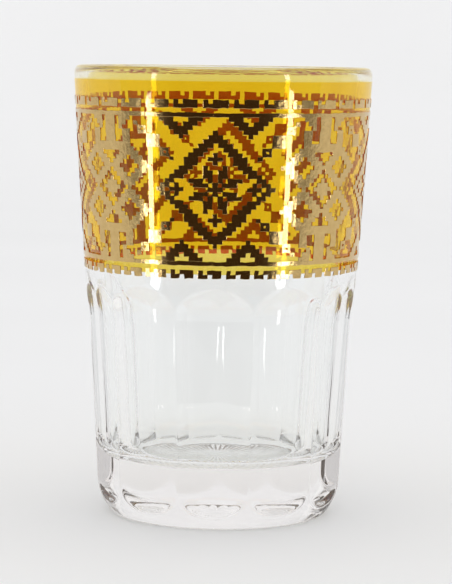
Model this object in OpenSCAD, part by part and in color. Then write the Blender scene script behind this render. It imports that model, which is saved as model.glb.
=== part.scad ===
// Small tea glass: a pressed glass body with flutes below a plain cone, an amber
// stain over the cone, and a raised gold print of stepped diamonds on the stain.
// Millimetres. The base stands on z = 0 and the front of the print faces -Y.
// The print is drawn on a lattice of square cells: columns round the cone, rows up it.

/* [Glass body] */
// Height from the base to the top of the lip
height = 87.3; // [84:0.1:92]
// Diameter across the lip
rim_d = 58; // [55:0.5:61]
// Lean of the outer wall from upright, in degrees
outer_lean = 3.64; // [3.2:0.02:4]
// Lean of the inner wall from upright, in degrees
inner_lean = 4.7; // [4.3:0.05:5.2]
// Thickness of the wall at the lip
lip_wall = 2.6; // [2.2:0.1:3]
// Thickness of the glass under the cavity floor
floor_t = 11.2; // [9:0.1:14]
// Radius between the cavity wall and its floor
floor_corner_r = 4.5; // [3:0.1:6]
// Height at which the foot starts to round in
foot_round_h = 6.4; // [5.5:0.1:7.5]
// Radius that rounds the foot in to the base
foot_round_r = 10; // [8.5:0.1:12]

/* [Underside] */
// Width of the flat ring that the glass stands on
stand_ring_w = 2.4; // [1.5:0.1:4]
// Rise of the hollow inside that ring
hollow_rise = 1.2; // [0.8:0.1:2]
// Number of rays pressed into the hollow
ray_count = 48; // [24:4:60]
// Depth of a ray at its outer end
ray_depth = 0.55; // [0.3:0.05:0.8]

/* [Flutes] */
// Number of flutes round the body
flute_count = 11; // [9:1:14]
// Plain glass between the foot of the print and the arched tops of the flutes
plain_band = 2.195; // [1.5:0.005:4]
// Height over which a flute runs out of the cone, from its head to its arched top
flute_runout = 8; // [6:0.5:12]
// Depth of a flute at its head, below the cone
flute_depth = 1.4; // [1:0.05:1.9]
// Lean of a flute from upright, in degrees
flute_lean = 2.85; // [2.4:0.05:3.4]

/* [Amber stain] */
// Thickness of the stain film
stain_t = 0.06; // [0.04:0.01:0.1]

/* [Gold print] */
// Thickness of the raised gold
gold_t = 0.12; // [0.08:0.01:0.2]
// Depth of the middle row of the print below the top of the lip
print_drop = 22.5; // [21.5:0.1:24]
// Height of one row of the print
row_h = 0.81; // [0.74:0.01:0.83]
// Spread of the gold past its cells, which joins cells that touch at a corner
ink_spread = 0.03; // [0.02:0.01:0.06]

/* [Hidden] */
$fn = 128;
overrun = 1;

// Walls of the body. The lip is a full round, and both walls run off it at a tangent.
lip_r = lip_wall / 2;
lip_x = rim_d / 2 - lip_r;
lip_z = height - lip_r;
function wall_r(z) = lip_x + lip_r / cos(outer_lean) - (lip_z - z) * tan(outer_lean);
function cavity_r(z) = lip_x - lip_r / cos(inner_lean) - (lip_z - z) * tan(inner_lean);

// Centre of the arc that rounds the foot, and the radius that it leaves at the base
foot_x = wall_r(foot_round_h) - foot_round_r * cos(outer_lean);
foot_z = foot_round_h + foot_round_r * sin(outer_lean);
base_r = foot_x + sqrt(pow(foot_round_r, 2) - pow(foot_z, 2));

// Centre of the round between the cavity's wall and its floor
corner_z = floor_t + floor_corner_r;
corner_x = cavity_r(corner_z) - floor_corner_r / cos(inner_lean);

// Sphere that hollows the underside, and the two ends of a ray that runs in it
hollow_r = base_r - stand_ring_w;
hollow_sphere_r = (pow(hollow_r, 2) + pow(hollow_rise, 2)) / (2 * hollow_rise);
ray_share = [0.22, 0.95];
ray_fill_share = 0.95;
ray_x = hollow_r * ray_share;
ray_r = ray_x * sin(180 / ray_count) * ray_fill_share;
ray_sink = ray_r * (1 - ray_depth / ray_r[1]);
function hollow_z(x) = hollow_rise - hollow_sphere_r + sqrt(pow(hollow_sphere_r, 2) - pow(x, 2));

// Lattice of the print: 48 columns to a repeat, four repeats round the cone
repeats = 4;
repeat_cols = 48;
col_a = 360 / (repeats * repeat_cols);
field_rows = 16;
rule_row = field_rows + 1;
border_row = rule_row + 2;
half_cell = 0.5;
spread = ink_spread / row_h;
print_start_share = 0.3;

// A flute is a flat panel. The run-out radius brings its cut out of the cone exactly at
// the arched top.
flute_top = row_z(-border_row - half_cell - 1) - plain_band;
flute_head = flute_top - flute_runout;
flute_out = flute_depth + wall_r(flute_top) - wall_r(flute_head);
flute_rise = flute_runout * cos(flute_lean) + flute_out * sin(flute_lean);
flute_sink = flute_out * cos(flute_lean) - flute_runout * sin(flute_lean);
flute_end_r = (pow(flute_rise, 2) + pow(flute_sink, 2)) / (2 * flute_sink);
flute_w = 2 * (wall_r(flute_head) + overrun) * tan(180 / flute_count);

// Big frame diamond: half its width in columns and half its height in rows
frame_cols = 12;
frame_rows = 13;
frame_band_cols = 3;
notch_rows = 2;
frame_cross_cols = 8;
// Star and small crosses inside the frame
cross_rows = 7;
arm_cols = 3;
// Small diamonds that cross between the frames, as half widths of the diamond and its hole
small_cols = 5;
small_hole_cols = 2;
// Right side of the stem from the crossed diamonds to a rule, and its slot, as corners in
// cells from the middle of the crossed diamonds
stem_side_cells = [[5.5, 8.5], [5.5, 13.5], [3.5, 13.5], [3.5, 14.5], [4.5, 14.5], [4.5, 15.5],
                   [5.5, 15.5], [5.5, 16.5]];
stem_slot_cells = [[1.5, 10.5], [3.5, 10.5], [3.5, 13.5 - spread], [2.5, 13.5 - spread], [2.5, 17],
                   [1.5, 17]];
// Half width of the triangles on the rules, and their column
triangle_half_cols = 4;
triangle_notch_cols = 1;
triangle_cols = 7;
// Sizes in cells of the squares in a chain, and the cell where it starts
chain_cells = [1, 2, 3, 2, 1];
chain_start_cells = [9, 7];
chain_dot_cells = 0.5;
// One running hook of a border takes this many columns. Its corners are counted in cells
// from the middle of its two rows.
hook_cols = 6;
upper_hook_cells = [[-2.5, -1], [2.5, -1], [2.5, 1], [-0.5, 1], [-0.5, 0], [-1.5, 0], [-1.5, 1],
                    [-2.5, 1]];
lower_hook_cells = [[-3.5, -1], [-1.5, -1], [-1.5, -spread], [-0.5, -spread], [-0.5, -1],
                    [1.5, -1], [1.5, 1], [-1.5 - spread, 1], [-1.5 - spread, spread],
                    [-2.5, spread], [-2.5, 1], [-3.5, 1]];

function row_z(row) = height - print_drop + row * row_h;
function on_wall(p) = [wall_r(row_z(p[1])) * sin(p[0] * col_a), row_z(p[1])];
function stain_foot_z() = row_z(-border_row - half_cell);
function half_cols(n_cols, n_rows, row) = round(n_cols * (1 - row / n_rows));
function sum_to(list, i) = i <= 0 ? 0 : list[i - 1] + sum_to(list, i - 1);
function turned(list) = [for (i = [len(list) - 1 : -1 : 0]) list[i]];

// One quarter of a stepped outline, from half widths in cells counted up from its middle row
function stair(halves, grow) = [
    for (i = [0 : len(halves) - 1]) let (next = i + 1 < len(halves) ? halves[i + 1] : -1)
        if (halves[i] > next) each [
            [halves[i] + half_cell + grow, i + half_cell + grow],
            if (next >= 0) [next + half_cell + grow, i + half_cell + grow]
        ]
];

// Corners on the right, carried on down the left
function both_sides(list) = concat(list, turned([for (p = list) [-p[0], p[1]]]));

// Whole stepped outline, from that quarter
function stair_loop(halves, grow) =
    let (top = both_sides(stair(halves, grow))) concat(top, [for (p = top) -p]);

// Solid body without its flutes, as a revolved outline
module outer_form() {
    difference() {
        union() {
            rotate_extrude() polygon([
                [0, 0],
                [foot_x, 0],
                [wall_r(foot_round_h), foot_round_h],
                [lip_x + lip_r * cos(outer_lean), lip_z - lip_r * sin(outer_lean)],
                [lip_x, lip_z],
                [0, lip_z]
            ]);
            rotate_extrude()
                intersection() {
                    translate([foot_x, foot_z]) circle(r = foot_round_r);
                    translate([foot_x / 2, foot_z - foot_round_r]) square([rim_d, 2 * foot_round_r]);
                }
        }
        translate([0, 0, -foot_round_r])
            cylinder(h = foot_round_r, r = rim_d);
    }
}

module lip_round() {
    rotate_extrude() translate([lip_x, lip_z]) circle(r = lip_r);
}

module cavity() {
    rotate_extrude() polygon([
        [0, floor_t],
        [corner_x, floor_t],
        [corner_x, corner_z],
        [corner_x + floor_corner_r * cos(inner_lean), corner_z - floor_corner_r * sin(inner_lean)],
        [lip_x - lip_r * cos(inner_lean), lip_z + lip_r * sin(inner_lean)],
        [lip_x - lip_r * cos(inner_lean), height + overrun],
        [0, height + overrun]
    ]);
    rotate_extrude() translate([corner_x, corner_z]) circle(r = floor_corner_r);
}

// Wedge of one flute's share of the round, at the front
module flute_wedge() {
    reach = rim_d * tan(180 / flute_count);
    translate([0, 0, -overrun])
        linear_extrude(height = flute_top + 2 * overrun)
            polygon([[0, 0], [-reach, -rim_d], [reach, -rim_d]]);
}

// Cutter for one flute: a block below the head, with a cylinder along its upper edge
// that leaves the arch where it runs out of the cone
module flute_cutter() {
    intersection() {
        translate([0, -(wall_r(flute_head) - flute_depth), flute_head])
            rotate([flute_lean, 0, 0]) {
                translate([-flute_w / 2, -2 * flute_end_r, -flute_head - overrun])
                    cube([flute_w, 2 * flute_end_r, flute_head + overrun]);
                translate([-flute_w / 2, -flute_end_r, 0])
                    rotate([0, 90, 0]) cylinder(h = flute_w, r = flute_end_r);
            }
        flute_wedge();
    }
}

// Shallow hollow under the foot
module hollow() {
    translate([0, 0, hollow_rise - hollow_sphere_r]) sphere(r = hollow_sphere_r);
}

// One ray: a round groove that widens and deepens outwards along the hollow
module ray() {
    from = hollow_z(ray_x[0]) - ray_sink[0];
    fall = from - hollow_z(ray_x[1]) + ray_sink[1];
    run = ray_x[1] - ray_x[0];
    translate([ray_x[0], 0, from])
        rotate([0, 90 + atan2(fall, run), 0])
            cylinder(h = norm([run, fall]), r1 = ray_r[0], r2 = ray_r[1]);
}

module glass_body() {
    color([0.86, 0.9, 0.88, 0.4])
        difference() {
            union() {
                difference() {
                    outer_form();
                    cavity();
                }
                lip_round();
            }
            for (i = [0 : flute_count - 1])
                rotate(i * 360 / flute_count) flute_cutter();
            hollow();
            for (i = [0 : ray_count - 1])
                rotate((2 * i + 1) * 180 / ray_count) ray();
        }
}

// Stain: a film over the cone that runs up and over the lip to its top
module amber_stain() {
    color([0.85, 0.62, 0.1])
        rotate_extrude() {
            polygon([
                [wall_r(stain_foot_z()), stain_foot_z()],
                [wall_r(stain_foot_z()) + stain_t, stain_foot_z()],
                [lip_x + (lip_r + stain_t) * cos(outer_lean),
                 lip_z - (lip_r + stain_t) * sin(outer_lean)],
                [lip_x + lip_r * cos(outer_lean), lip_z - lip_r * sin(outer_lean)]
            ]);
            translate([lip_x, lip_z])
                intersection() {
                    difference() {
                        circle(r = lip_r + stain_t);
                        circle(r = lip_r);
                    }
                    polygon([
                        [0, 0],
                        [lip_wall * cos(outer_lean), -lip_wall * sin(outer_lean)],
                        [lip_wall, lip_wall],
                        [0, lip_wall]
                    ]);
                }
        }
}

// Shell of gold between two rows. It lies on the stain, and on the glass below the stain.
module gold_shell(low_row, high_row) {
    low = row_z(low_row);
    high = row_z(high_row);
    mid = max(low, stain_foot_z());
    color([0.72, 0.6, 0.33])
        rotate_extrude() polygon([
            if (low < mid) [wall_r(low), low],
            if (low < mid) [wall_r(mid), mid],
            [wall_r(mid) + stain_t, mid],
            [wall_r(high) + stain_t, high],
            [wall_r(high) + stain_t + gold_t, high],
            [wall_r(low) + stain_t + gold_t, low]
        ]);
}

// Pushes a flat pattern out through the front of the wall, once for each repeat
module each_repeat(turn) {
    for (i = [0 : repeats - 1])
        rotate((i * repeat_cols + turn) * col_a)
            translate([0, -print_start_share * rim_d, 0])
                rotate([90, 0, 0]) linear_extrude(height = rim_d) children();
}

// Block of cells about a cell, as wide and as high as is given
module cells(col, row, wide, high, grow = spread) {
    dx = wide / 2 + grow;
    dy = high / 2 + grow;
    polygon([for (k = [[-1, -1], [1, -1], [1, 1], [-1, 1]]) on_wall([col + k[0] * dx, row + k[1] * dy])]);
}

// Flat shape from its corners in cells about a middle, turned over in its rows by flip
module drawn(corners, row = 0, flip = 1) {
    polygon([for (p = corners) on_wall([p[0], row + flip * p[1]])]);
}

// Stepped shape about a cell, from its half widths
module stepped(col, row, halves, grow = spread) {
    drawn([for (p = stair_loop(halves, grow)) [col, 0] + p], row);
}

function diamond_halves(n) = [for (i = [0 : n]) n - i];

// Diamond about a cell with a diamond hole in it, from the half widths of both
module holed(col, row, half, hole) {
    difference() {
        stepped(col, row, diamond_halves(half));
        stepped(col, row, diamond_halves(hole), -spread);
    }
}

module cross(col, row) {
    cells(col, row, arm_cols, 1);
    cells(col, row, 1, arm_cols);
}

// Field between the rules, cut to its motifs
module gold_field(turn = 0) {
    intersection() {
        gold_shell(-field_rows - half_cell + spread, field_rows + half_cell - spread);
        each_repeat(turn) children();
    }
}

// Two thin rules, with the stepped triangles and the crossed diamonds that join them
module gold_net() {
    intersection() {
        gold_shell(-rule_row - half_cell - spread, rule_row + half_cell + spread);
        union() {
            for (side = [-1, 1])
                translate([0, 0, row_z(side * rule_row) - (half_cell + spread) * row_h])
                    cylinder(h = (1 + 2 * spread) * row_h, r = rim_d);
            each_repeat(0) {
                for (u = [-1, 1], v = [-1, 1])
                    holed(u * triangle_cols, v * field_rows, triangle_half_cols, triangle_notch_cols);
            }
            each_repeat(repeat_cols / 2) {
                for (u = [-1, 1], v = [-1, 1])
                    holed(u * small_cols, v * small_cols, small_cols, small_hole_cols);
                for (v = [-1, 1])
                    difference() {
                        drawn(both_sides(stem_side_cells), 0, v);
                        for (u = [-1, 1]) drawn([for (p = stem_slot_cells) [u * p[0], p[1]]], 0, v);
                    }
            }
        }
    }
}

// Stepped diamond frames, each with a notch and a small cross at its two side points
module gold_diamond_frames() {
    outer = [for (i = [0 : frame_rows]) half_cols(frame_cols, frame_rows, i)];
    inner = [for (i = [0 : frame_rows]) if (outer[i] >= frame_band_cols)
        outer[i] - frame_band_cols + (i <= notch_rows ? 1 : 0)];
    gold_field() {
        difference() {
            stepped(0, 0, outer);
            stepped(0, 0, inner, -spread);
        }
        for (u = [-1, 1]) cross(u * frame_cross_cols, 0);
    }
}

// Eight-pointed stars with a plus at the middle, whose arms meet at their corners
module gold_stars() {
    gold_field() {
        cross(0, 0);
        for (u = [-1, 1], v = [-1, 1]) {
            cells(u * arm_cols, v, arm_cols, 1);
            cells(u * (arm_cols + 1), v * 2, arm_cols, 1);
            cells(u, v * arm_cols, 1, arm_cols);
            cells(u * 2, v * (arm_cols + 1), 1, arm_cols);
        }
    }
}

// Small crosses above and below each star
module gold_crosses() {
    gold_field() for (v = [-1, 1]) cross(0, v * cross_rows);
}

// Diamonds at the middle of the crossed diamonds
module gold_core_diamonds() {
    gold_field(repeat_cols / 2) stepped(0, 0, diamond_halves(small_hole_cols));
}

// Chains of squares that climb between the frames and the crossed diamonds
module gold_square_chains() {
    gold_field()
        for (u = [-1, 1], v = [-1, 1], i = [0 : len(chain_cells) - 1]) {
            size = chain_cells[i];
            at = chain_start_cells + (sum_to(chain_cells, i) + (size - 1) / 2) * [1, 1];
            difference() {
                cells(u * at[0], v * at[1], size, size);
                if (size == 2) cells(u * at[0], v * at[1], chain_dot_cells, chain_dot_cells, 0);
            }
        }
}

// Running hooks of a border
module gold_hooks(row, hook) {
    intersection() {
        gold_shell(row - 1, row + 1);
        for (i = [0 : repeats * repeat_cols / hook_cols - 1])
            rotate(i * hook_cols * col_a)
                translate([0, overrun - wall_r(row_z(row)), 0])
                    rotate([90, 0, 0]) linear_extrude(height = rim_d)
                        drawn(hook, row);
    }
}

module gold_upper_border() gold_hooks(border_row + half_cell, upper_hook_cells);

module gold_lower_border() gold_hooks(-border_row - half_cell, lower_hook_cells);

glass_body();
amber_stain();
gold_upper_border();
gold_net();
gold_diamond_frames();
gold_stars();
gold_crosses();
gold_core_diamonds();
gold_square_chains();
gold_lower_border();
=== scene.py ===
import math

import bmesh
import bpy
from mathutils import Matrix


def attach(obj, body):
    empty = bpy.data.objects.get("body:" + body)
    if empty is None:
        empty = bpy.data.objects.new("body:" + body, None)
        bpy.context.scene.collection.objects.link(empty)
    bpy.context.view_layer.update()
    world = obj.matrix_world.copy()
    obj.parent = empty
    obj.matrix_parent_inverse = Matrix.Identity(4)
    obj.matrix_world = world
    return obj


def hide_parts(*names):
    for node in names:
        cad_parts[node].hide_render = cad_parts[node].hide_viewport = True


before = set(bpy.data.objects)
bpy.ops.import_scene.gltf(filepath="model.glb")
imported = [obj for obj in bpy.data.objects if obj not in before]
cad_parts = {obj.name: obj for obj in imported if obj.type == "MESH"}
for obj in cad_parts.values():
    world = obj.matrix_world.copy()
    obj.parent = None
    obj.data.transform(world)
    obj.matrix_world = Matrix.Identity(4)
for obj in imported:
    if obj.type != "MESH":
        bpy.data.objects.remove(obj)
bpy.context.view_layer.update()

# Glass body. One piece of clear soda glass, pressed in a mould: a plain cone
# above eleven flutes, a thick floor, and a rayed hollow under the foot. The
# flutes and rays are pressed into a turned blank, as the mould does it.
MM = 0.001
HEIGHT, RIM_R, LIP_R = 87.3, 29.0, 1.3
OUTER_LEAN, INNER_LEAN = math.radians(3.64), math.radians(4.7)
FLOOR_T, CORNER_R = 11.2, 4.5
FOOT_ROUND_H, FOOT_ROUND_R = 6.4, 10.0
STAND_RING_W, HOLLOW_RISE = 2.4, 1.2
FLUTE_COUNT, FLUTE_TOP, FLUTE_HEAD, FLUTE_DEPTH = 11, 46.0, 38.0, 1.4
FLUTE_LEAN = math.radians(2.85)
RAY_COUNT, RAY_DEPTH = 48, 0.55
PLAIN_MIDDLE, RAYS_BEGIN, RAYS_END = 0.2, 0.24, 0.95    # shares of the hollow's radius
ROUND_STEPS = 528

LIP_X, LIP_Z = RIM_R - LIP_R, HEIGHT - LIP_R


def wall_r(z):
    return LIP_X + LIP_R / math.cos(OUTER_LEAN) - (LIP_Z - z) * math.tan(OUTER_LEAN)


def cavity_r(z):
    return LIP_X - LIP_R / math.cos(INNER_LEAN) - (LIP_Z - z) * math.tan(INNER_LEAN)


def between(a, b, steps):
    return [a + (b - a) * i / steps for i in range(steps + 1)]


def arc(cx, cz, r, start, end, steps):
    return [(cx + r * math.cos(t), cz + r * math.sin(t)) for t in between(start, end, steps)]


foot_x = wall_r(FOOT_ROUND_H) - FOOT_ROUND_R * math.cos(OUTER_LEAN)
foot_z = FOOT_ROUND_H + FOOT_ROUND_R * math.sin(OUTER_LEAN)
base_r = foot_x + math.sqrt(FOOT_ROUND_R ** 2 - foot_z ** 2)
hollow_r = base_r - STAND_RING_W
hollow_sphere_r = (hollow_r ** 2 + HOLLOW_RISE ** 2) / (2 * HOLLOW_RISE)
corner_z = FLOOR_T + CORNER_R
corner_x = cavity_r(corner_z) - CORNER_R / math.cos(INNER_LEAN)

# The blank's outline, from the middle of the underside out, up, over and in. Its
# points are closest together where the flutes are pressed.
plain_shares, rayed_shares = between(0, PLAIN_MIDDLE, 2), between(RAYS_BEGIN, 0.93, 9)
hollow_x = [hollow_r * share for share in plain_shares + rayed_shares + [0.96, 0.985, 1]]
outline = [(x, HOLLOW_RISE - hollow_sphere_r + math.sqrt(hollow_sphere_r ** 2 - x * x)) for x in hollow_x]
RING_INNER_EDGE, RING_OUTER_EDGE = 0.12, 0.15
outline += [(hollow_r + RING_INNER_EDGE, 0), (base_r - RING_OUTER_EDGE, 0)]
outline += arc(foot_x, foot_z, FOOT_ROUND_R, -math.asin(foot_z / FOOT_ROUND_R), -OUTER_LEAN, 12)
outline += [(wall_r(z), z) for z in between(FOOT_ROUND_H + 0.6, FLUTE_TOP + 1, 76)]
outline += [(wall_r(z), z) for z in between(FLUTE_TOP + 4, LIP_Z - 1, 4)]
outline += arc(LIP_X, LIP_Z, LIP_R, -OUTER_LEAN, math.pi - INNER_LEAN, 18)
outline += [(cavity_r(z), z) for z in between(LIP_Z - 1, corner_z + 1, 5)]
outline += arc(corner_x, corner_z, CORNER_R, -INNER_LEAN, -math.pi / 2, 9)
outline += [(corner_x * share, FLOOR_T) for share in (0.85, 0.5, 0.2, 0)]

flute_out = FLUTE_DEPTH + wall_r(FLUTE_TOP) - wall_r(FLUTE_HEAD)
flute_run = FLUTE_TOP - FLUTE_HEAD
flute_rise = flute_run * math.cos(FLUTE_LEAN) + flute_out * math.sin(FLUTE_LEAN)
flute_sink = flute_out * math.cos(FLUTE_LEAN) - flute_run * math.sin(FLUTE_LEAN)
flute_end_r = (flute_rise ** 2 + flute_sink ** 2) / (2 * flute_sink)


def feed(tree, socket, value):
    if isinstance(value, bpy.types.NodeSocket):
        tree.links.new(value, socket)
    elif value is not None:
        socket.default_value = value


def add(tree, kind, values=(), **settings):
    node = tree.nodes.new(kind)
    for name, value in settings.items():
        setattr(node, name, value)
    for key, value in dict(values).items():
        feed(tree, node.inputs[key], value)
    return node


def calc(tree, operation, *values):
    node = add(tree, "ShaderNodeMath", operation=operation)
    for socket, value in zip(node.inputs, values):
        feed(tree, socket, value)
    return node.outputs[0]


def new_tree(name, kind, inputs, outputs):
    tree = bpy.data.node_groups.new(name, kind)
    for direction, sockets in (("INPUT", inputs), ("OUTPUT", outputs)):
        for label, socket_kind, value in sockets:
            made = tree.interface.new_socket(label, in_out=direction, socket_type=socket_kind)
            if value is not None:
                made.default_value = value
    return tree, tree.nodes.new("NodeGroupInput").outputs, tree.nodes.new("NodeGroupOutput").inputs


FLOAT, INTEGER, GEOMETRY = "NodeSocketFloat", "NodeSocketInt", "NodeSocketGeometry"
press, given, result = new_tree("pressed_glass", "GeometryNodeTree", [
    ("Outline", GEOMETRY, None),
    ("Outline Points", INTEGER, len(outline)),
    ("Steps Round", INTEGER, ROUND_STEPS),
    ("Flutes", FLOAT, FLUTE_COUNT),
    ("Flute Head", FLOAT, FLUTE_HEAD * MM),
    ("Flute Apothem", FLOAT, (wall_r(FLUTE_HEAD) - FLUTE_DEPTH) * MM),
    ("Flute Lean", FLOAT, FLUTE_LEAN),
    ("Flute End Radius", FLOAT, flute_end_r * MM),
    ("Ridge Softness", FLOAT, 0.3 * MM),
    ("Softness Reach", FLOAT, 1 * MM),
    ("Rays", FLOAT, RAY_COUNT),
    ("Ray Squeeze", FLOAT, 2.2),
    ("Ray Depth", FLOAT, RAY_DEPTH * MM),
    ("Ray End", FLOAT, hollow_r * RAYS_END * MM),
    ("Last Plain Point", INTEGER, len(plain_shares) - 1),
    ("Rayed Points", INTEGER, len(rayed_shares)),
    ("Material", "NodeSocketMaterial", None),
], [("Glass", GEOMETRY, None)])

# A grid with one column for each outline point is rolled round the axis
last_point = calc(press, "SUBTRACT", given["Outline Points"], 1)
grid = add(press, "GeometryNodeMeshGrid", {
    "Size X": last_point, "Size Y": given["Steps Round"],
    "Vertices X": given["Outline Points"], "Vertices Y": calc(press, "ADD", given["Steps Round"], 1)})
place = add(press, "ShaderNodeSeparateXYZ", {0: add(press, "GeometryNodeInputPosition").outputs[0]}).outputs
point_no = calc(press, "ROUND", calc(press, "MULTIPLY_ADD", last_point, 0.5, place[0]))
share_round = calc(press, "ADD", calc(press, "DIVIDE", place[1], given["Steps Round"]), 0.5)
turn = calc(press, "MULTIPLY", share_round, 2 * math.pi)
sample = add(press, "GeometryNodeSampleIndex", {"Geometry": given["Outline"], "Index": point_no},
             data_type="FLOAT_VECTOR", domain="POINT")
press.links.new(add(press, "GeometryNodeInputPosition").outputs[0], sample.inputs["Value"])
blank = add(press, "ShaderNodeSeparateXYZ", {0: sample.outputs[0]}).outputs

# Flutes: flat panels that run out of the cone on an arc
flute_share = calc(press, "MULTIPLY", share_round, given["Flutes"])
off_share = calc(press, "SUBTRACT", calc(press, "FRACT", calc(press, "ADD", flute_share, 0.5)), 0.5)
off_angle = calc(press, "DIVIDE", calc(press, "MULTIPLY", off_share, 2 * math.pi), given["Flutes"])
above_head = calc(press, "SUBTRACT", blank[2], given["Flute Head"])
flat = calc(press, "MULTIPLY", calc(press, "MINIMUM", above_head, 0.0),
            calc(press, "TANGENT", given["Flute Lean"]))
lean_drop = calc(press, "MULTIPLY", given["Flute End Radius"], calc(press, "SINE", given["Flute Lean"]))
on_arc = calc(press, "ADD", calc(press, "MAXIMUM", above_head, 0.0), lean_drop)
inside = calc(press, "SUBTRACT", calc(press, "POWER", given["Flute End Radius"], 2.0),
              calc(press, "POWER", on_arc, 2.0))
lean_reach = calc(press, "MULTIPLY", given["Flute End Radius"], calc(press, "COSINE", given["Flute Lean"]))
run_out = calc(press, "SUBTRACT", lean_reach, calc(press, "SQRT", calc(press, "MAXIMUM", inside, 0.0)))
apothem = calc(press, "ADD", calc(press, "ADD", given["Flute Apothem"], flat), run_out)
panel_r = calc(press, "DIVIDE", apothem, calc(press, "COSINE", off_angle))
near_outside = calc(press, "GREATER_THAN", blank[0],
                    calc(press, "SUBTRACT", panel_r, given["Softness Reach"]))
soft_r = calc(press, "SMOOTH_MIN", blank[0], panel_r,
              calc(press, "MULTIPLY", given["Ridge Softness"], near_outside))

# Rays: round grooves in the hollow, deeper towards the ring
ray_share = calc(press, "FRACT", calc(press, "MULTIPLY", share_round, given["Rays"]))
across = calc(press, "MULTIPLY", calc(press, "SUBTRACT", ray_share, 0.5), given["Ray Squeeze"])
groove = calc(press, "SQRT", calc(press, "MAXIMUM",
              calc(press, "SUBTRACT", 1.0, calc(press, "POWER", across, 2.0)), 0.0))
out_share = calc(press, "DIVIDE", blank[0], given["Ray End"])
last_rayed = calc(press, "ADD", given["Last Plain Point"], given["Rayed Points"])
in_hollow = calc(press, "MULTIPLY", calc(press, "GREATER_THAN", point_no, given["Last Plain Point"]),
                 calc(press, "LESS_THAN", point_no, calc(press, "ADD", last_rayed, 0.5)))
ray_rise = calc(press, "MULTIPLY", calc(press, "MULTIPLY", given["Ray Depth"], out_share),
                calc(press, "MULTIPLY", groove, in_hollow))
rolled = add(press, "ShaderNodeCombineXYZ", {
    0: calc(press, "MULTIPLY", soft_r, calc(press, "SINE", turn)),
    1: calc(press, "MULTIPLY", calc(press, "MULTIPLY", soft_r, -1.0), calc(press, "COSINE", turn)),
    2: calc(press, "ADD", blank[2], ray_rise)}).outputs[0]
moved = add(press, "GeometryNodeSetPosition", {"Geometry": grid.outputs["Mesh"], "Position": rolled})
closed = add(press, "GeometryNodeMergeByDistance", {"Geometry": moved.outputs[0], "Distance": 0.002 * MM})
smooth = add(press, "GeometryNodeSetShadeSmooth", {"Geometry": closed.outputs[0]})
whole = add(press, "GeometryNodeRealizeInstances", {"Geometry": smooth.outputs[0]})
painted = add(press, "GeometryNodeSetMaterial", {
    "Geometry": whole.outputs[0], "Material": given["Material"]})
press.links.new(painted.outputs[0], result["Glass"])


def formed(name, start_mesh, tree, **values):
    """The mesh that a tree makes of a starting mesh, as a plain object with its faces outward."""
    for value in values.values():
        if isinstance(value, bpy.types.Material):
            start_mesh.materials.append(value)
    start = bpy.data.objects.new(name + "_start", start_mesh)
    bpy.context.scene.collection.objects.link(start)
    modifier = start.modifiers.new("form", "NODES")
    modifier.node_group = tree
    for socket in tree.interface.items_tree:
        if socket.item_type == "SOCKET" and socket.in_out == "INPUT" and socket.name in values:
            modifier[socket.identifier] = values[socket.name]
    ready = start.evaluated_get(bpy.context.evaluated_depsgraph_get())
    mesh = bpy.data.meshes.new_from_object(ready)
    mesh.name = name
    start.modifiers.clear()
    bpy.data.objects.remove(start)
    shell = bmesh.new()
    shell.from_mesh(mesh)
    if shell.calc_volume(signed=True) < 0:
        bmesh.ops.reverse_faces(shell, faces=shell.faces)
    shell.to_mesh(mesh)
    shell.free()
    piece = bpy.data.objects.new(name, mesh)
    bpy.context.scene.collection.objects.link(piece)
    return piece


# Marks that pressing and handling leave: slow waves, and fine specks
marks, asked, given_out = new_tree("surface_marks", "ShaderNodeTree", [
    ("Wave Size", FLOAT, 6 * MM), ("Speck Size", FLOAT, 0.3 * MM), ("Stretch", FLOAT, 1.0),
], [("Waves", FLOAT, None), ("Specks", FLOAT, None)])
where = add(marks, "ShaderNodeTexCoord").outputs["Object"]
squeeze = add(marks, "ShaderNodeCombineXYZ", {0: 1.0, 1: 1.0, 2: asked["Stretch"]}).outputs[0]
drawn_out = add(marks, "ShaderNodeVectorMath", {0: where, 1: squeeze}, operation="MULTIPLY").outputs[0]
waves = add(marks, "ShaderNodeTexNoise", {
    "Vector": drawn_out, "Scale": calc(marks, "DIVIDE", 1.0, asked["Wave Size"]), "Detail": 1.0})
specks = add(marks, "ShaderNodeTexNoise", {
    "Vector": where, "Scale": calc(marks, "DIVIDE", 1.0, asked["Speck Size"]), "Detail": 3.0})
marks.links.new(waves.outputs[0], given_out["Waves"])
marks.links.new(specks.outputs[0], given_out["Specks"])


def finish_of(name):
    material = bpy.data.materials.new(name)
    material.use_nodes = True
    return material, material.node_tree, material.node_tree.nodes["Principled BSDF"]


def bump(tree, height, distance):
    return add(tree, "ShaderNodeBump", {"Height": height, "Distance": distance}).outputs[0]


TURNS_SHOWN = 4


def let_light_through(tree, shader, tint):
    """Shadow rays pass straight through, tinted, so that the floor is lit as through real glass. So
    do rays that have been turned often inside the wall, and would otherwise end there in black."""
    out = tree.nodes["Material Output"].inputs["Surface"]
    ray = add(tree, "ShaderNodeLightPath").outputs
    turned_often = calc(tree, "GREATER_THAN", ray["Ray Depth"], TURNS_SHOWN + 0.5)
    passes = calc(tree, "MAXIMUM", ray["Is Shadow Ray"], turned_often)
    clear = add(tree, "ShaderNodeBsdfTransparent", {"Color": tint}).outputs[0]
    seen = add(tree, "ShaderNodeMixShader", {0: passes, 1: shader.outputs[0], 2: clear}).outputs[0]
    tree.links.new(seen, out)


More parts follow.
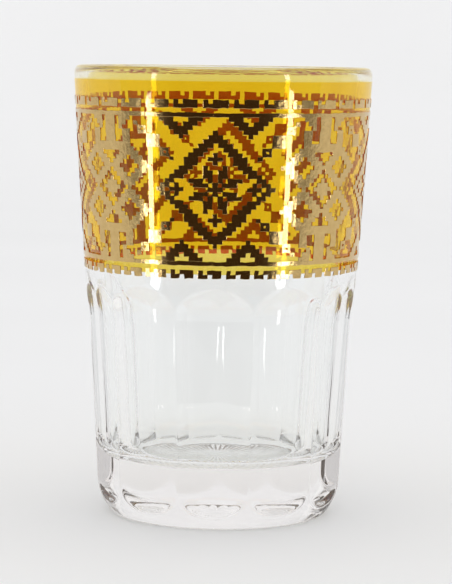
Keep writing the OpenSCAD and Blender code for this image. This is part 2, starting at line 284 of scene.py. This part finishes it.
SMUDGED_FROM, SMUDGE_ROUGHNESS = 0.6, 0.08
clear_glass, tree, shader = finish_of("clear_glass")
shader.inputs["Base Color"].default_value = (0.985, 0.995, 0.99, 1)
shader.inputs["Transmission Weight"].default_value = 1.0
shader.inputs["IOR"].default_value = 1.52
wear = add(tree, "ShaderNodeGroup", node_tree=marks)
wear.inputs["Wave Size"].default_value = 9 * MM
smudged = calc(tree, "MAXIMUM", calc(tree, "SUBTRACT", wear.outputs["Specks"], SMUDGED_FROM), 0.0)
tree.links.new(calc(tree, "MULTIPLY", smudged, SMUDGE_ROUGHNESS), shader.inputs["Roughness"])
tree.links.new(bump(tree, wear.outputs["Waves"], 0.05 * MM), shader.inputs["Normal"])
let_light_through(tree, shader, (0.93, 0.94, 0.94, 1))
depth_tint = add(tree, "ShaderNodeVolumeAbsorption", {
    "Color": (0.88, 0.72, 0.7, 1), "Density": 4.0}).outputs[0]
tree.links.new(depth_tint, tree.nodes["Material Output"].inputs["Volume"])

outline_mesh = bpy.data.meshes.new("glass_outline")
outline_mesh.from_pydata([(x * MM, 0, z * MM) for x, z in outline],
                         [(i, i + 1) for i in range(len(outline) - 1)], [])
glass = formed("glass_body_pressed", outline_mesh, press, Material=clear_glass)
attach(glass, "root")
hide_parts("glass_body")

# Amber stain. A thin transparent film sprayed and fired on the outside of the
# cone, from the lower border up over the lip, where it thins to pale yellow.
PRINT_MID_H, ROW_H = 64.8, 0.81
BORDER_ROW = 19
STAIN_IN, STAIN_OUT = 0.012, 0.046
LIP_BAND_FROM, LIP_BAND_FULL = HEIGHT - 2.65, HEIGHT - 2.5
CROWN_FROM, CROWN_FULL = HEIGHT - 0.5, HEIGHT - 0.2
stain_foot = PRINT_MID_H - (BORDER_ROW + 0.5) * ROW_H


def film_side(off):
    lean_x = off / math.cos(OUTER_LEAN)
    side = [(wall_r(z) + lean_x, z) for z in between(stain_foot, LIP_Z - 0.3, 6)]
    return side + arc(LIP_X, LIP_Z, LIP_R + off, -OUTER_LEAN, math.pi / 2, 14)


film_loop = film_side(STAIN_IN) + film_side(STAIN_OUT)[::-1]
film_points, film_faces = [], []
for step in range(ROUND_STEPS):
    angle = 2 * math.pi * step / ROUND_STEPS
    film_points += [(x * MM * math.sin(angle), -x * MM * math.cos(angle), z * MM) for x, z in film_loop]
    here, there = step * len(film_loop), (step + 1) % ROUND_STEPS * len(film_loop)
    for i in range(len(film_loop)):
        j = (i + 1) % len(film_loop)
        film_faces.append((here + i, here + j, there + j, there + i))
film_mesh = bpy.data.meshes.new("amber_stain_film")
film_mesh.from_pydata(film_points, [], film_faces)
film_shell = bmesh.new()
film_shell.from_mesh(film_mesh)
bmesh.ops.recalc_face_normals(film_shell, faces=film_shell.faces)
for face in film_shell.faces:
    face.smooth = True
film_shell.to_mesh(film_mesh)
film_shell.free()

# So thin a film bends no light, so its IOR is 1, and a coat gives it its shine
amber, tree, shader = finish_of("amber_stain")
shader.inputs["Transmission Weight"].default_value = 1.0
shader.inputs["IOR"].default_value = 1.0
shader.inputs["Roughness"].default_value = 0.0
shader.inputs["Coat Weight"].default_value = 0.7
shader.inputs["Coat Roughness"].default_value = 0.02
wear = add(tree, "ShaderNodeGroup", node_tree=marks)
wear.inputs["Wave Size"].default_value = 5 * MM
wear.inputs["Stretch"].default_value = 0.35
where = add(tree, "ShaderNodeTexCoord").outputs["Object"]
height = add(tree, "ShaderNodeSeparateXYZ", {0: where}).outputs["Z"]
lip_share = add(tree, "ShaderNodeMapRange", {
    "Value": height, "From Min": LIP_BAND_FROM * MM, "From Max": LIP_BAND_FULL * MM}).outputs[0]
body_colour = add(tree, "ShaderNodeMixRGB", {
    0: wear.outputs["Waves"], 1: (0.97, 0.7, 0.08, 1), 2: (0.99, 0.82, 0.14, 1)}).outputs[0]
crown_share = add(tree, "ShaderNodeMapRange", {
    "Value": height, "From Min": CROWN_FROM * MM, "From Max": CROWN_FULL * MM}).outputs[0]
lip_colour = add(tree, "ShaderNodeMixRGB", {
    0: crown_share, 1: (1.0, 0.99, 0.94, 1), 2: (0.96, 0.84, 0.45, 1)}).outputs[0]
film_colour = add(tree, "ShaderNodeMixRGB", {0: lip_share, 1: body_colour, 2: lip_colour}).outputs[0]
tree.links.new(film_colour, shader.inputs["Base Color"])
one_face_tint = add(tree, "ShaderNodeMixRGB", {
    0: lip_share, 1: (0.99, 0.87, 0.33, 1), 2: (1.0, 0.995, 0.97, 1)}).outputs[0]
let_light_through(tree, shader, one_face_tint)
film_mesh.materials.append(amber)
film = bpy.data.objects.new("amber_stain_film", film_mesh)
bpy.context.scene.collection.objects.link(film)
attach(film, "root")
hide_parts("amber_stain")

# Gold print. Bright gold over a red-brown ground, screened on to the stain in
# square cells and fired, so that it stands about a tenth of a millimetre proud.
# Each motif is laid out flat once, then repeated and wrapped round the cone.
REPEATS, REPEAT_COLS = 4, 48
GOLD_T, STAIN_T, PRINT_LIFT = 0.12, 0.06, 0.002
NECK, DOT, WELD = 0.09, 0.25, 0.01    # shares of a cell
BEVEL, BEVEL_ANGLE = 0.09, 50    # millimetres and degrees

wrap, given, result = new_tree("gold_print", "GeometryNodeTree", [
    ("Cells", GEOMETRY, None),
    ("Repeats", INTEGER, REPEATS),
    ("Repeat Columns", FLOAT, REPEAT_COLS),
    ("Middle Height", FLOAT, PRINT_MID_H * MM),
    ("Row Height", FLOAT, ROW_H * MM),
    ("Wall Radius", FLOAT, wall_r(PRINT_MID_H) * MM),
    ("Wall Slope", FLOAT, math.tan(OUTER_LEAN)),
    ("Stain Thickness", FLOAT, (STAIN_T + PRINT_LIFT) * MM),
    ("Gold Thickness", FLOAT, (GOLD_T - PRINT_LIFT) * MM),
    ("Stain Foot Row", FLOAT, -BORDER_ROW - 1.0),
    ("Ink Wander", FLOAT, 0.45),
    ("Wander Size", FLOAT, 0.7 * MM),
    ("Gold", "NodeSocketMaterial", None),
    ("Ground", "NodeSocketMaterial", None),
], [("Print", GEOMETRY, None)])

# The flat cells are repeated in a row, and raised to a height of one
step_across = add(wrap, "ShaderNodeCombineXYZ", {0: given["Repeat Columns"]}).outputs[0]
starts = add(wrap, "GeometryNodeMeshLine", {"Count": given["Repeats"], "Offset": step_across})
copies = add(wrap, "GeometryNodeInstanceOnPoints", {
    "Points": starts.outputs[0], "Instance": given["Cells"]})
laid = add(wrap, "GeometryNodeRealizeInstances", {"Geometry": copies.outputs[0]})
joined = add(wrap, "GeometryNodeMergeByDistance", {"Geometry": laid.outputs[0], "Distance": WELD})
raised = add(wrap, "GeometryNodeExtrudeMesh", {
    "Mesh": joined.outputs[0], "Offset": (0.0, 0.0, 1.0),
    "Offset Scale": 1.0, "Individual": False}, mode="FACES")
under = add(wrap, "GeometryNodeFlipFaces", {"Mesh": joined.outputs[0]})
both = add(wrap, "GeometryNodeJoinGeometry")
wrap.links.new(raised.outputs["Mesh"], both.inputs[0])
wrap.links.new(under.outputs[0], both.inputs[0])
sealed = add(wrap, "GeometryNodeMergeByDistance", {"Geometry": both.outputs[0], "Distance": WELD})

# The edges of the ink wander a little, by a noise read on the ring, so that it has no seam
place = add(wrap, "ShaderNodeSeparateXYZ", {0: add(wrap, "GeometryNodeInputPosition").outputs[0]}).outputs
cols_round = calc(wrap, "MULTIPLY", given["Repeat Columns"], given["Repeats"])
col_angle = calc(wrap, "DIVIDE", 2 * math.pi, cols_round)
true_turn = calc(wrap, "MULTIPLY", place[0], col_angle)
on_ring = add(wrap, "ShaderNodeCombineXYZ", {
    0: calc(wrap, "MULTIPLY", given["Wall Radius"], calc(wrap, "SINE", true_turn)),
    1: calc(wrap, "MULTIPLY", given["Wall Radius"], calc(wrap, "COSINE", true_turn)),
    2: calc(wrap, "MULTIPLY", place[1], given["Row Height"])}).outputs[0]
uneven = add(wrap, "ShaderNodeTexNoise", {
    "Vector": on_ring, "Scale": calc(wrap, "DIVIDE", 1.0, given["Wander Size"]), "Detail": 0.0})
wander = [calc(wrap, "MULTIPLY", calc(wrap, "SUBTRACT", part, 0.5), given["Ink Wander"])
          for part in add(wrap, "ShaderNodeSeparateXYZ", {0: uneven.outputs["Color"]}).outputs]

# Columns become angles, rows become heights on the cone, and the raised height the gold's thickness
turn = calc(wrap, "MULTIPLY", calc(wrap, "ADD", place[0], wander[0]), col_angle)
rise = calc(wrap, "MULTIPLY", calc(wrap, "ADD", place[1], wander[1]), given["Row Height"])
wall = calc(wrap, "MULTIPLY_ADD", rise, given["Wall Slope"], given["Wall Radius"])
on_stain = calc(wrap, "MAXIMUM", place[2], calc(wrap, "GREATER_THAN", place[1], given["Stain Foot Row"]))
surface = calc(wrap, "MULTIPLY_ADD", given["Stain Thickness"], on_stain, wall)
radius = calc(wrap, "MULTIPLY_ADD", place[2], given["Gold Thickness"], surface)
wrapped = add(wrap, "ShaderNodeCombineXYZ", {
    0: calc(wrap, "MULTIPLY", radius, calc(wrap, "SINE", turn)),
    1: calc(wrap, "MULTIPLY", calc(wrap, "MULTIPLY", radius, -1.0), calc(wrap, "COSINE", turn)),
    2: calc(wrap, "ADD", given["Middle Height"], rise)}).outputs[0]
set_round = add(wrap, "GeometryNodeSetPosition", {"Geometry": sealed.outputs[0], "Position": wrapped})

# The face on the wall is the ground, and the top and sides are gold
whole = add(wrap, "GeometryNodeRealizeInstances", {"Geometry": set_round.outputs[0]})
grounded = add(wrap, "GeometryNodeSetMaterial", {"Geometry": whole.outputs[0], "Material": given["Ground"]})
top_or_side = add(wrap, "FunctionNodeBooleanMath", {
    0: raised.outputs["Top"], 1: raised.outputs["Side"]}, operation="OR").outputs[0]
gilded = add(wrap, "GeometryNodeSetMaterial", {
    "Geometry": grounded.outputs[0], "Selection": top_or_side, "Material": given["Gold"]})
wrap.links.new(gilded.outputs[0], result["Print"])

gold, tree, shader = finish_of("bright_gold")
shader.inputs["Metallic"].default_value = 1.0
wear = add(tree, "ShaderNodeGroup", node_tree=marks)
wear.inputs["Wave Size"].default_value = 1.1 * MM
wear.inputs["Speck Size"].default_value = 0.16 * MM
tone = add(tree, "ShaderNodeMixRGB", {
    0: wear.outputs["Waves"], 1: (0.57, 0.38, 0.145, 1), 2: (0.72, 0.52, 0.23, 1)}).outputs[0]
tree.links.new(tone, shader.inputs["Base Color"])
rough = calc(tree, "MULTIPLY_ADD", wear.outputs["Specks"], 0.15, 0.05)
tree.links.new(rough, shader.inputs["Roughness"])
grain = calc(tree, "ADD", wear.outputs["Specks"], calc(tree, "MULTIPLY", wear.outputs["Waves"], 2.0))
tree.links.new(bump(tree, grain, 0.014 * MM), shader.inputs["Normal"])

ground, tree, shader = finish_of("red_brown_ground")
shader.inputs["Roughness"].default_value = 0.55
shader.inputs["Specular IOR Level"].default_value = 0.15
wear = add(tree, "ShaderNodeGroup", node_tree=marks)
wear.inputs["Wave Size"].default_value = 2.5 * MM
tone = add(tree, "ShaderNodeMixRGB", {
    0: wear.outputs["Waves"], 1: (0.82, 0.06, 0.003, 1), 2: (0.97, 0.15, 0.012, 1)}).outputs[0]
tree.links.new(tone, shader.inputs["Base Color"])


def flat_cells(name, cells, repeat_cols, dots):
    """Square cells as one flat sheet; cells that meet at a corner are joined by a narrow neck, and
    a small square hole is left about each dot."""
    filled = {(c % repeat_cols, r) for c, r in cells}

    def gold_at(c, r):
        return (c % repeat_cols, r) in filled

    points, numbers, faces = [], {}, []

    def point(x, y):
        key = (round(x, 4), round(y, 4))
        if key not in numbers:
            numbers[key] = len(points)
            points.append((x, y, 0))
        return numbers[key]

    for c, r in sorted(cells):
        corners = []
        for sx, sy in ((-1, -1), (1, -1), (1, 1), (-1, 1)):
            x, y = c + sx / 2, r + sy / 2
            if (x, y) in dots:
                ends = [(x - sx * DOT, y), (x - sx * DOT, y - sy * DOT), (x, y - sy * DOT)]
                corners += ends[::-1] if sx * sy > 0 else ends
                continue
            only_diagonal = gold_at(c + sx, r + sy) and not gold_at(c + sx, r) and not gold_at(c, r + sy)
            if only_diagonal:
                ends = [(x + sx * NECK, y - sy * NECK), (x - sx * NECK, y + sy * NECK)]
                corners += ends if sx * sy > 0 else ends[::-1]
            else:
                corners.append((x, y))
        faces.append([point(x, y) for x, y in corners])
    mesh = bpy.data.meshes.new(name)
    mesh.from_pydata(points, [], faces)
    return mesh


def gild(name, cells, node, repeats=REPEATS, repeat_cols=REPEAT_COLS, dots=()):
    sheet = flat_cells(name + "_cells", cells, repeat_cols, dots)
    values = {"Gold": gold, "Ground": ground, "Repeats": repeats, "Repeat Columns": float(repeat_cols)}
    piece = formed(name, sheet, wrap, **values)
    soften = piece.modifiers.new("soften", "BEVEL")
    soften.width, soften.segments = BEVEL * MM, 2
    soften.limit_method, soften.angle_limit = "ANGLE", math.radians(BEVEL_ANGLE)
    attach(piece, "root")
    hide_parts(node)


def block(col, row, wide, high):
    return {(col + c, row + r) for c in range(wide) for r in range(high)}


def each_way(cells, centre=0):
    return {(centre + u * c, v * r) for c, r in cells for u in (-1, 1) for v in (-1, 1)}


def diamond(col, row, half):
    return {(col + c, row + r) for c in range(-half, half + 1) for r in range(-half, half + 1)
            if abs(c) + abs(r) <= half}


def cross(col, row):
    return diamond(col, row, 1)


# Upper border. Thirty-two separate running hooks of gold below the lip, each
# five cells wide, with one cell missing from its top row.
HOOKS, HOOK_COLS = 32, 6
upper_hook = block(-2, BORDER_ROW, 5, 1) | {(-2, BORDER_ROW + 1)} | block(0, BORDER_ROW + 1, 3, 1)
gild("gold_upper_hooks", upper_hook, "gold_upper_border", HOOKS, HOOK_COLS)

# Net. One continuous piece of gold: the two rules, the stepped triangles on
# them, and the crossed diamonds with their stems.
RULE_ROW, PEAK_COL = 17, 7
net = {(c, r) for c in range(REPEAT_COLS) for r in (-RULE_ROW, RULE_ROW)}
for side in (-PEAK_COL, PEAK_COL):
    peak = diamond(side, RULE_ROW - 1, 4) - diamond(side, RULE_ROW - 1, 1)
    net |= {(c, v * r) for c, r in peak if r < RULE_ROW for v in (-1, 1)}
quarter = diamond(5, 5, 5) - diamond(5, 5, 2)
quarter |= block(0, 9, 6, 2) | block(0, 11, 2, 6) | block(4, 11, 2, 3)
quarter |= {(3, 14)} | block(3, 15, 2, 1) | block(3, 16, 3, 1)
net |= each_way(quarter, REPEAT_COLS // 2)
gild("gold_net_of_diamonds", net, "gold_net")

# Frames. Four big stepped diamonds of gold, three cells thick, each with a
# small cross in the notch at either side.
FRAME_COLS, FRAME_ROWS = 12, 13
frame_cells = set()
for row in range(-FRAME_ROWS, FRAME_ROWS + 1):
    reach = int(FRAME_COLS * (1 - abs(row) / FRAME_ROWS) + 0.5)
    inner = reach - (2 if abs(row) <= 2 else 3)
    frame_cells |= {(c, row) for c in range(-reach, reach + 1) if abs(c) > inner}
gild("gold_frames", frame_cells | cross(8, 0) | cross(-8, 0), "gold_diamond_frames")

# Stars. One in each frame: four pairs of gold arms round a plus, all joined at
# their corners.
star_arms = block(2, 1, 3, 1) | block(3, 2, 3, 1) | block(1, 2, 1, 3) | block(2, 3, 1, 3)
gild("gold_stars_in_frames", cross(0, 0) | each_way(star_arms), "gold_stars")

# Small crosses of gold, one above and one below each star, and small gold
# diamonds, one inside each group of crossed diamonds.
CROSS_ROW, CORE_HALF = 7, 2
gild("gold_small_crosses", cross(0, CROSS_ROW) | cross(0, -CROSS_ROW), "gold_crosses")
gild("gold_small_diamonds", diamond(REPEAT_COLS // 2, 0, CORE_HALF), "gold_core_diamonds")

# Chains. Gold squares of one, two, three, two and one cells that climb corner to
# corner between the frames and the crossed diamonds.
CHAIN_COL, CHAIN_ROW = 9, 7
chain, dots, at = set(), set(), 0
for size in (1, 2, 3, 2, 1):
    chain |= block(CHAIN_COL + at, CHAIN_ROW + at, size, size)
    if size == 2:
        dots.add((CHAIN_COL + 0.5 + at, CHAIN_ROW + 0.5 + at))
    at += size
gild("gold_chains", each_way(chain), "gold_square_chains", dots=each_way(dots))

# Lower border. Thirty-two separate running hooks of gold that step from the
# foot of the stain on to the clear glass.
lower_hook = {(-3, -BORDER_ROW)} | block(-1, -BORDER_ROW, 3, 1)
lower_hook |= block(-3, -BORDER_ROW - 1, 2, 1) | block(0, -BORDER_ROW - 1, 2, 1)
gild("gold_lower_hooks", lower_hook, "gold_lower_border", HOOKS, HOOK_COLS)

# Studio. A pale floor that sweeps up behind, a dark room on the camera's side,
# a tall narrow window of light on each side, and the camera of the photo.
FLOOR_FRONT, FLOOR_BACK, FLOOR_HALF_W = -0.12, 0.9, 1.6
SWEEP_R, SWEEP_TOP = 0.5, 1.2
sweep_line = [(FLOOR_FRONT, 0.0), (FLOOR_BACK, 0.0)]
sweep_line += [(FLOOR_BACK + SWEEP_R * math.sin(t), SWEEP_R - SWEEP_R * math.cos(t))
               for t in between(0.1, 1.5, 10)]
sweep_line += [(FLOOR_BACK + SWEEP_R, SWEEP_TOP)]
sweep_mesh = bpy.data.meshes.new("floor_sweep")
sweep_mesh.from_pydata([(x, y, z) for y, z in sweep_line for x in (-FLOOR_HALF_W, FLOOR_HALF_W)], [],
                       [(2 * i, 2 * i + 1, 2 * i + 3, 2 * i + 2) for i in range(len(sweep_line) - 1)])
for face in sweep_mesh.polygons:
    face.use_smooth = True
paper, tree, shader = finish_of("pale_paper")
wear = add(tree, "ShaderNodeGroup", node_tree=marks)
wear.inputs["Wave Size"].default_value = 0.15
tone = add(tree, "ShaderNodeMixRGB", {
    0: wear.outputs["Waves"], 1: (0.89, 0.89, 0.895, 1), 2: (0.93, 0.93, 0.935, 1)}).outputs[0]
tree.links.new(tone, shader.inputs["Base Color"])
shader.inputs["Roughness"].default_value = 0.9
sweep_mesh.materials.append(paper)
sweep = bpy.data.objects.new("floor_sweep", sweep_mesh)
bpy.context.scene.collection.objects.link(sweep)

# Each kind of ray meets its own room: the camera a pale backdrop, the floor a brighter
# one, mirrored rays a dark side towards the camera, and rays through glass a paler one
world = bpy.data.worlds.new("room")
world.use_nodes = True
bpy.context.scene.world = world
tree = world.node_tree
path = add(tree, "ShaderNodeLightPath")
where = add(tree, "ShaderNodeTexCoord").outputs["Generated"]
direction = add(tree, "ShaderNodeSeparateXYZ", {0: where}).outputs
away_from_camera = add(tree, "ShaderNodeMapRange", {
    "Value": direction[1], "From Min": -0.66, "From Max": -0.5}).outputs[0]
mirrored = add(tree, "ShaderNodeMixRGB", {
    0: away_from_camera, 1: (0.045, 0.024, 0.009, 1), 2: (0.31, 0.31, 0.31, 1)}).outputs[0]
through = add(tree, "ShaderNodeMapRange", {
    "Value": direction[1], "From Min": -0.85, "From Max": -0.45, "To Min": 0.55, "To Max": 0.95}).outputs[0]
backdrop = add(tree, "ShaderNodeMixRGB", {
    0: path.outputs["Is Diffuse Ray"], 1: (0.86, 0.86, 0.865, 1), 2: (1.01, 1.01, 1.01, 1)}).outputs[0]
seen = add(tree, "ShaderNodeMixRGB", {
    0: path.outputs["Is Glossy Ray"], 1: backdrop, 2: mirrored}).outputs[0]
room_light = add(tree, "ShaderNodeMixRGB", {
    0: path.outputs["Is Transmission Ray"], 1: seen, 2: through}).outputs[0]
tree.links.new(room_light, tree.nodes["Background"].inputs["Color"])

# The windows, placed in degrees round the glass from where the camera stands
CAMERA_TURN, LEFT_WINDOW, RIGHT_WINDOW = 2.6, -58, 53
WINDOW_AWAY, WINDOW_MIDDLE = 0.9, -0.15
WINDOW_WIDE, WINDOW_HIGH, WINDOW_WATTS = 0.07, 0.24, 0.75
for name, side in (("left_window", LEFT_WINDOW), ("right_window", RIGHT_WINDOW)):
    light = bpy.data.lights.new(name, "AREA")
    light.shape, light.energy = "RECTANGLE", WINDOW_WATTS
    light.size, light.size_y = WINDOW_WIDE, WINDOW_HIGH
    lamp = bpy.data.objects.new(name, light)
    bpy.context.scene.collection.objects.link(lamp)
    azimuth = math.radians(side + CAMERA_TURN)
    lamp.location = (WINDOW_AWAY * math.sin(azimuth), -WINDOW_AWAY * math.cos(azimuth), WINDOW_MIDDLE)
    lamp.rotation_euler = (math.radians(90), 0, azimuth)

# The camera as it was solved from the photo: angles in radians, and lens and
# shift worked out from pixels of the photo's height
CAMERA_AWAY, CAMERA_UP, LOOK_DOWN, CAMERA_ROLL = 0.46185, 0.09014, 0.10141, 0.01237
PHOTO_HIGH, FOCAL_PIXELS, SHIFT_PIXELS, SENSOR = 584, 2361.58, 5.296, 36
camera_data = bpy.data.cameras.new("camera")
camera = bpy.data.objects.new("camera", camera_data)
bpy.context.scene.collection.objects.link(camera)
to_right = math.radians(CAMERA_TURN)
camera.location = (CAMERA_AWAY * math.sin(to_right), -CAMERA_AWAY * math.cos(to_right), CAMERA_UP)
turned = Matrix.Rotation(to_right, 3, "Z") @ Matrix.Rotation(math.pi / 2 - LOOK_DOWN, 3, "X")
turned = turned @ Matrix.Rotation(CAMERA_ROLL, 3, "Z")
camera.rotation_euler = turned.to_euler()
camera_data.sensor_fit = "VERTICAL"
camera_data.sensor_height = SENSOR
camera_data.lens = FOCAL_PIXELS / PHOTO_HIGH * SENSOR
camera_data.shift_x = SHIFT_PIXELS / PHOTO_HIGH
camera_data.clip_start, camera_data.clip_end = 0.01, 20
bpy.context.scene.camera = camera
bpy.context.scene.view_settings.view_transform = "Standard"
